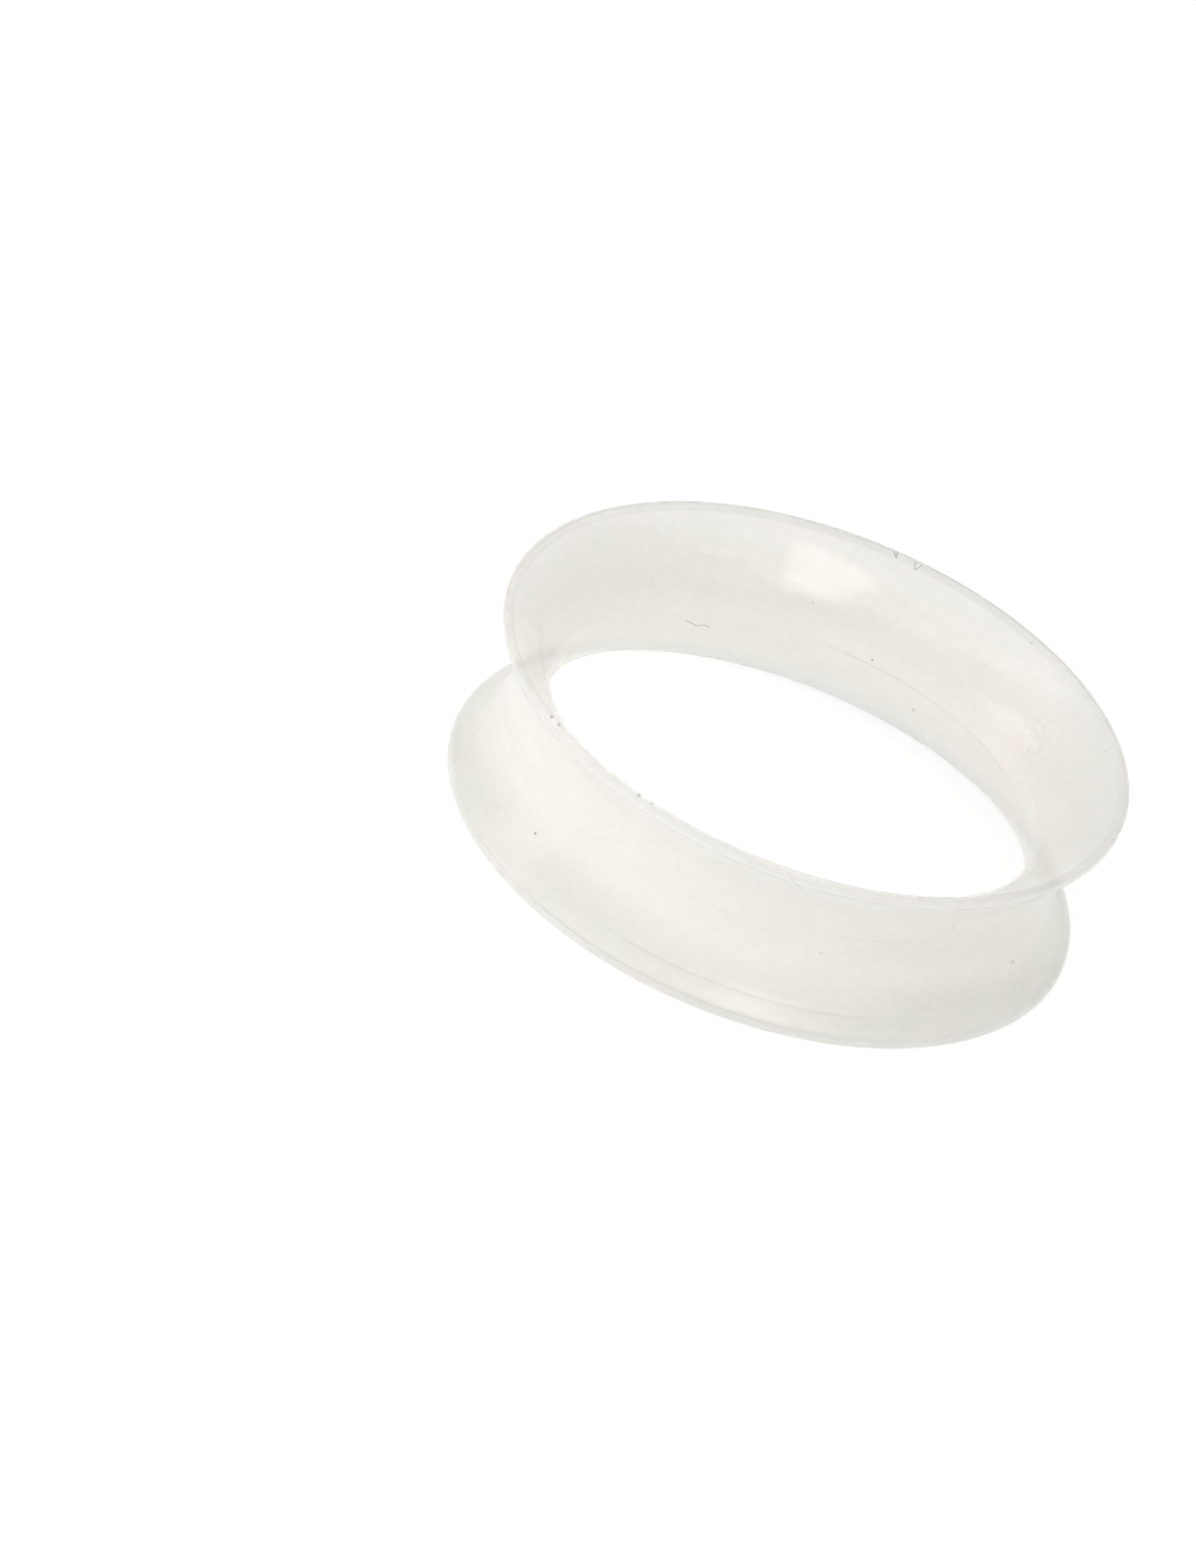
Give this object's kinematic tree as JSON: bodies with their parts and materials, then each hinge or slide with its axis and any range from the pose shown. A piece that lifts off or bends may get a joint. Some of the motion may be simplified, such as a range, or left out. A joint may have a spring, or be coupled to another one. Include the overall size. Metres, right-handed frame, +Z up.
{
  "type": "ear tunnel",
  "caption": "Soft double-flared ear tunnel: a hollow eyelet with a saddle-shaped outside wall, a wide open throat and thin rims, moulded in one piece of milky translucent silicone.",
  "frame": {"origin": "middle of the resting face of the lower rim, on the tunnel's axis", "axes": "+Z up along the tunnel's axis, out through the upper mouth; X and Y are alike, because the tunnel is round"},
  "size_m": [0.0335, 0.0334, 0.0095],
  "materials": {
    "silicone": "milky translucent soft silicone, satin outside and in, with fine tool lines from the mould"
  },
  "bodies": {
    "root": {"tunnel_body": "silicone"}
  },
  "joints": []
}
